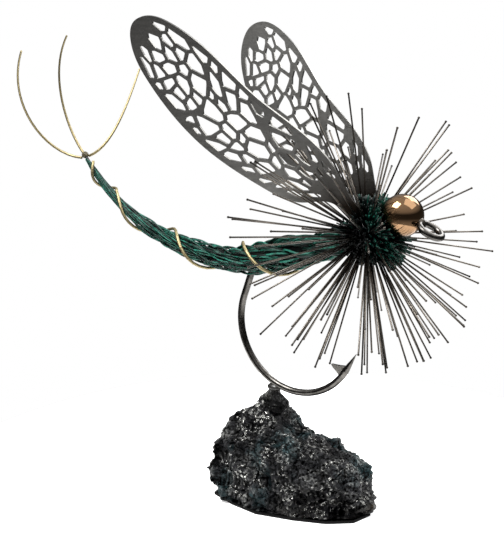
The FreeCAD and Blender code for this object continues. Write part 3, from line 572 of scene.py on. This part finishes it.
def strands_object(name, strands, materials, sides):
    """One piece made of many strands, each with its points, its radii and the number of its material."""
    corners = []
    faces = []
    looks = []
    count = 0
    for points, radii, look in strands:
        more, sides_of = tube_parts(points, radii, sides)
        corners.append(more)
        faces.extend(tuple(corner + count for corner in face) for face in sides_of)
        looks.extend([look] * len(sides_of))
        count += len(more)
    mesh = bpy.data.meshes.new(name)
    mesh.from_pydata(np.concatenate(corners).tolist(), [], faces)
    mesh.shade_smooth()
    for material in materials:
        mesh.materials.append(material)
    mesh.polygons.foreach_set("material_index", looks)
    piece = bpy.data.objects.new(name, mesh)
    bpy.context.collection.objects.link(piece)
    return piece


# ---------------------------------------------------------------- abdomen
ABDOMEN_RAYS = 24
ABDOMEN_STATIONS = 190
TAIL_TRIM = 1.6 * MM
HEAD_TRIM = 5.2 * MM
HOOK_ROOM = 2.4 * MM
RAY_ROOM = 10 * MM
# Keeps the last station inside the curve's last span.
SHORT_OF_END = 1e-9
STRAND_SIDES = 6
YARNS = 7
YARN_TURNS = 2.6
YARN_REACH = 0.58
FILAMENTS = 12
FILAMENT_TURNS = -3.4
FILAMENT_REACH = 0.33
FILAMENT_LOOKS = (0, 1, 0, 2, 1)
# A filament's radius is this length plus this share of the abdomen's radius.
FILAMENT_RADIUS = 0.12 * MM
FILAMENT_SHARE = 0.042
# A core of this share of the abdomen's radius, coloured near black: painted shade deep between the
# strands.
INNER_SHARE = 0.66
CORE_SHADE_LOOK = 3

# Unevenness of a turn or a reach: its size, its pace and the first row of noise that it reads.
YARN_TURN_WOBBLE = (0.7, 6, 0)
YARN_REACH_WOBBLE = (0.16, 9, 20)
FILAMENT_TURN_WOBBLE = (1.1, 8, 50)
FILAMENT_REACH_WOBBLE = (0.08, 12, 300)
NOISE_ROW = 7.3
NOISE_LAYER = 1.7


def smooth_row(rows, count):
    """Points along a smooth curve through a few rows of numbers."""
    rows = np.array(rows, float)
    padded = np.vstack([2 * rows[0] - rows[1], rows, 2 * rows[-1] - rows[-2]])
    result = []
    for place in np.linspace(0, len(rows) - 1 - SHORT_OF_END, count):
        start = int(place)
        share = place - start
        before, first, second, after = padded[start:start + 4]
        result.append(0.5 * (2 * first + (second - before) * share
                             + (2 * before - 5 * first + 4 * second - after) * share ** 2
                             + (3 * first - before - 3 * second + after) * share ** 3))
    return np.array(result)


def wobble(number, stations, size, pace, first_row):
    """A smooth random value from -size to size at each station."""
    row = (first_row + number) * NOISE_ROW
    values = [noise.noise(Vector((place * pace, row, NOISE_LAYER))) for place in stations]
    return size * np.array(values)


def around(up, side, turn, reach):
    """Steps away from a line, at the stated turns round it and distances from it."""
    return (up * np.cos(turn)[:, None] + side * np.sin(turn)[:, None]) * reach[:, None]


def surface_tree(node):
    """A CAD node's surface, ready for rays and nearest points."""
    mesh = frame["nodes"][node].data
    return BVHTree.FromPolygons([corner.co for corner in mesh.vertices],
                                [face.vertices for face in mesh.polygons])


def abdomen_rows():
    """X, Z and radius along the abdomen, from rays that meet its upper and lower side."""
    low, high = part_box("abdomen_strands")
    hook_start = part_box("hook")[0].x - HOOK_ROOM
    tree = surface_tree("abdomen_strands")
    rows = []
    for x in np.linspace(low.x + TAIL_TRIM, high.x - HEAD_TRIM, ABDOMEN_RAYS):
        beside = HOOK_ROOM if x > hook_start else 0.0
        top = tree.ray_cast(Vector((x, beside, high.z + RAY_ROOM)), Vector((0, 0, -1)))[0].z
        bottom = tree.ray_cast(Vector((x, beside, low.z - RAY_ROOM)), Vector((0, 0, 1)))[0].z
        rows.append((x, (top + bottom) / 2, (top - bottom) / 2, beside))
    rows = np.array(rows)
    slope = np.arctan(np.gradient(rows[:, 1], rows[:, 0]))
    radius = np.hypot(rows[:, 2] * np.cos(slope), rows[:, 3])
    return np.column_stack([rows[:, 0], rows[:, 1], radius])


def add_abdomen(materials):
    """Yarns of thin green strands twisted round the abdomen's middle line."""
    line = smooth_row(abdomen_rows(), ABDOMEN_STATIONS)
    middle = np.column_stack([line[:, 0], np.zeros(len(line)), line[:, 1]])
    radius = line[:, 2]
    along = np.gradient(middle, axis=0)
    along /= np.linalg.norm(along, axis=1)[:, None]
    side = np.tile((0.0, -1.0, 0.0), (len(line), 1))
    up = np.cross(side, along)
    share = np.linspace(0, 1, len(line))
    thickness = FILAMENT_RADIUS + radius * FILAMENT_SHARE
    # The near-black core: painted shade inside the bundle.
    strands = [(middle, radius * INNER_SHARE, CORE_SHADE_LOOK)]
    for yarn in range(YARNS):
        turn = 2 * math.pi * (yarn / YARNS + YARN_TURNS * share)
        turn += wobble(yarn, share, *YARN_TURN_WOBBLE)
        out = radius * (YARN_REACH + wobble(yarn, share, *YARN_REACH_WOBBLE))
        centre = middle + around(up, side, turn, out)
        for filament in range(FILAMENTS):
            number = yarn * FILAMENTS + filament
            spin = 2 * math.pi * (filament / FILAMENTS + FILAMENT_TURNS * share)
            spin += wobble(number, share, *FILAMENT_TURN_WOBBLE)
            reach = radius * (FILAMENT_REACH + wobble(number, share, *FILAMENT_REACH_WOBBLE))
            look = FILAMENT_LOOKS[number % len(FILAMENT_LOOKS)]
            strands.append((centre + around(up, side, spin, reach), thickness, look))
    return strands_object("abdomen_strand_bundle", strands, materials, STRAND_SIDES)


# ---------------------------------------------------------------- thorax
TUFT_SEED = 19
TUFT_BRISTLES = 1000
TUFT_SIDES = 5
TUFT_STATIONS = (0, 0.25, 0.5, 0.75, 1)
# Least, greatest and commonest angle between a bristle and the way to the eye, in degrees.
TUFT_ANGLES = (24, 140, 62)
TUFT_REACH = 13.5 * MM
TUFT_LENGTHS = (0.6, 1.0)
# Past this angle the bristles are this share as long, except those that point upwards by more
# than TUFT_TOP.
TUFT_SHORT_ANGLE = 68
TUFT_SHORT_SHARE = 0.42
TUFT_TOP = 0.3
# Up to this angle most bristles are green, and past it few are: the rest are near-black copies, painted
# shade for the collar's dark middle.
TUFT_GREEN_ANGLE = 60
TUFT_GREEN_SHARE = 0.85
TUFT_BACK_GREEN_SHARE = 0.16
TUFT_GREEN_LOOK = 0
TUFT_SHADE_LOOK = 1
TUFT_BEND = 0.16
# Bristles start at this share of the hub's radius.
TUFT_ROOT = 0.97
# A bristle's radius in millimetres at its root and at its tip.
TUFT_RADII = (0.46, 0.38)
BEAD_ROOM = 0.4 * MM
WING_ROOM = 1.1 * MM


def half_height(node):
    """Half the height of a CAD node's box: the radius, where the node is a ball."""
    low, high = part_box(node)
    return (high.z - low.z) / 2


def add_bristles(materials):
    """A dense collar of thin, slightly bent bristles round the front of the thorax."""
    chance = random.Random(TUFT_SEED)
    hub = centre_of("thorax_hub")
    hub_radius = half_height("thorax_hub")
    bead = centre_of("head_bead")
    bead_radius = half_height("head_bead")
    limit_low, limit_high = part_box("thorax_bristles")
    to_head = (centre_of("eye_weld") - hub).normalized()
    across = Vector((0, 1, 0))
    upwards = across.cross(to_head) * -1
    wings = [surface_tree("wing_right"), surface_tree("wing_left")]
    strands = []
    while len(strands) < TUFT_BRISTLES:
        lean = chance.triangular(*TUFT_ANGLES)
        turn = chance.uniform(0, 2 * math.pi)
        radial = across * math.cos(turn) + upwards * math.sin(turn)
        direction = to_head * math.cos(math.radians(lean)) + radial * math.sin(math.radians(lean))
        bend = Vector([chance.uniform(-TUFT_BEND, TUFT_BEND) for axis in range(3)])
        reach = chance.uniform(*TUFT_LENGTHS) * TUFT_REACH
        if lean > TUFT_SHORT_ANGLE and radial.z < TUFT_TOP:
            reach *= TUFT_SHORT_SHARE
        # Bristles leaning back are mostly near-black copies of the green: painted shade.
        green_share = TUFT_GREEN_SHARE if lean < TUFT_GREEN_ANGLE else TUFT_BACK_GREEN_SHARE
        look = TUFT_GREEN_LOOK if chance.random() < green_share else TUFT_SHADE_LOOK
        start = hub + direction * hub_radius * TUFT_ROOT
        points = [start + (direction + bend * share) * reach * share for share in TUFT_STATIONS]
        if any((point - bead).length < bead_radius + BEAD_ROOM for point in points):
            continue
        if any(wing.find_nearest(point)[3] < WING_ROOM for wing in wings for point in points):
            continue
        tip = points[-1]
        if not all(limit_low[axis] < tip[axis] < limit_high[axis] for axis in range(3)):
            continue
        radii = np.linspace(*TUFT_RADII, len(points)) * MM
        strands.append((np.array(points), radii, look))
    return strands_object("thorax_tuft", strands, materials, TUFT_SIDES)


# ---------------------------------------------------------------- stone
STONE_VOXEL = 0.5 * MM
STONE_RELIEF = 7.0 * MM
# Where the wear is less than this, the surface stands proud of the CAD solid.
STONE_PROUD = 0.5
# The wear fades out over this share of the height, at the top of the spire.
SPIRE_SHARE = 0.25

# The warp that bends the larger forms: its noise scale, and its reach in millimetres.
WARP_SCALE = 70
WARP_REACH = 4
WARP_SHIFTS = (Vector((0.0, 0.0, 0.0)), Vector((5.2, 1.3, 7.7)), Vector((2.8, 9.1, 3.4)))

# Layers of cells: cycles per metre, depth, and whether the warp bends them.
CELL_LAYERS = ((48, 1.0, True), (130, 0.42, True), (400, 0.26, False), (760, 0.16, False))
CELL_MIDDLE = 0.3
HOLLOW_SCALE = 46
HOLLOW_SHIFT = Vector((3.1, 0.4, 8.2))
HOLLOW_EDGE = 0.08
HOLLOW_DEPTH = 2.2
# The folds' fractal: increment, lacunarity, octaves, offset and gain.
FOLD_FRACTAL = (1.0, 2.0, 3, 1.0, 2.0)
FOLD_SCALE = 42
FOLD_MIDDLE = 1.0
FOLD_HEIGHT = 0.32
# Cycles per metre of the streaks in three slanted directions.
STREAK_SCALES = ((110, 0, 90), (0, 50, 0), (-22, 0, 26))
STREAK_DEPTH = 0.6
BASE_DEPTH = 0.3


def warp(point):
    """A smooth push at a point, the same in every run."""
    return Vector([noise.noise(point + shift) for shift in WARP_SHIFTS])


def rough_depth(point):
    """Wear of the stone's surface at a point, in shares of STONE_RELIEF."""
    warped = point + warp(point * WARP_SCALE) * WARP_REACH * MM
    depth = 0.0
    for scale, size, bent in CELL_LAYERS:
        place = warped if bent else point
        depth += size * (noise.voronoi(place * scale)[0][0] - CELL_MIDDLE)
    hollows = max(0.0, noise.noise(warped * HOLLOW_SCALE + HOLLOW_SHIFT) - HOLLOW_EDGE)
    folds = noise.ridged_multi_fractal(warped * FOLD_SCALE, *FOLD_FRACTAL)
    streaks = noise.noise(Vector([point.x * x + point.y * y + point.z * z for x, y, z in STREAK_SCALES]))
    return (depth + HOLLOW_DEPTH * hollows - FOLD_HEIGHT * (folds - FOLD_MIDDLE)
            + STREAK_DEPTH * streaks + BASE_DEPTH)


def add_stone(material):
    """The mineral's crystal surface: the CAD solid's, worn in and built up within its box."""
    piece = bpy.data.objects.new("stone_surface", frame["nodes"]["rock_base"].data.copy())
    bpy.context.collection.objects.link(piece)
    remesh = piece.modifiers.new("even", "REMESH")
    remesh.mode = "VOXEL"
    remesh.voxel_size = STONE_VOXEL
    seen = piece.evaluated_get(bpy.context.evaluated_depsgraph_get())
    fine = bpy.data.meshes.new_from_object(seen)
    piece.modifiers.clear()
    piece.data = fine
    low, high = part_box("rock_base")
    moved = []
    for vertex in fine.vertices:
        inset = STONE_RELIEF * (rough_depth(vertex.co) - STONE_PROUD)
        height = (vertex.co.z - low.z) / (high.z - low.z)
        inset *= min(1.0, max(0.0, (1 - height) / SPIRE_SHARE))
        place = vertex.co - vertex.normal * inset
        # The sawn foot stays flat.
        if vertex.co.z < low.z + STONE_VOXEL:
            place.z = vertex.co.z
        moved.append(place)
    for vertex, place in zip(fine.vertices, moved):
        vertex.co = [min(max(place[axis], low[axis]), high[axis]) for axis in range(3)]
    fine.shade_flat()
    fine.materials.clear()
    fine.materials.append(material)
    return piece


# ---------------------------------------------------------------- build
add_world()
add_floor()
for light in LIGHTS:
    add_light(*light)
add_camera()
bristles = bristle_materials()
strands = strand_materials()
materials = dress_frame(bristles, strands)
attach(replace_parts(add_abdomen(strands), "abdomen_strands"), "root")
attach(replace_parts(add_bristles(bristles), "thorax_bristles"), "root")
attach(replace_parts(add_stone(materials["stone"]), "rock_base"), "root")

bpy.context.view_layer.update()
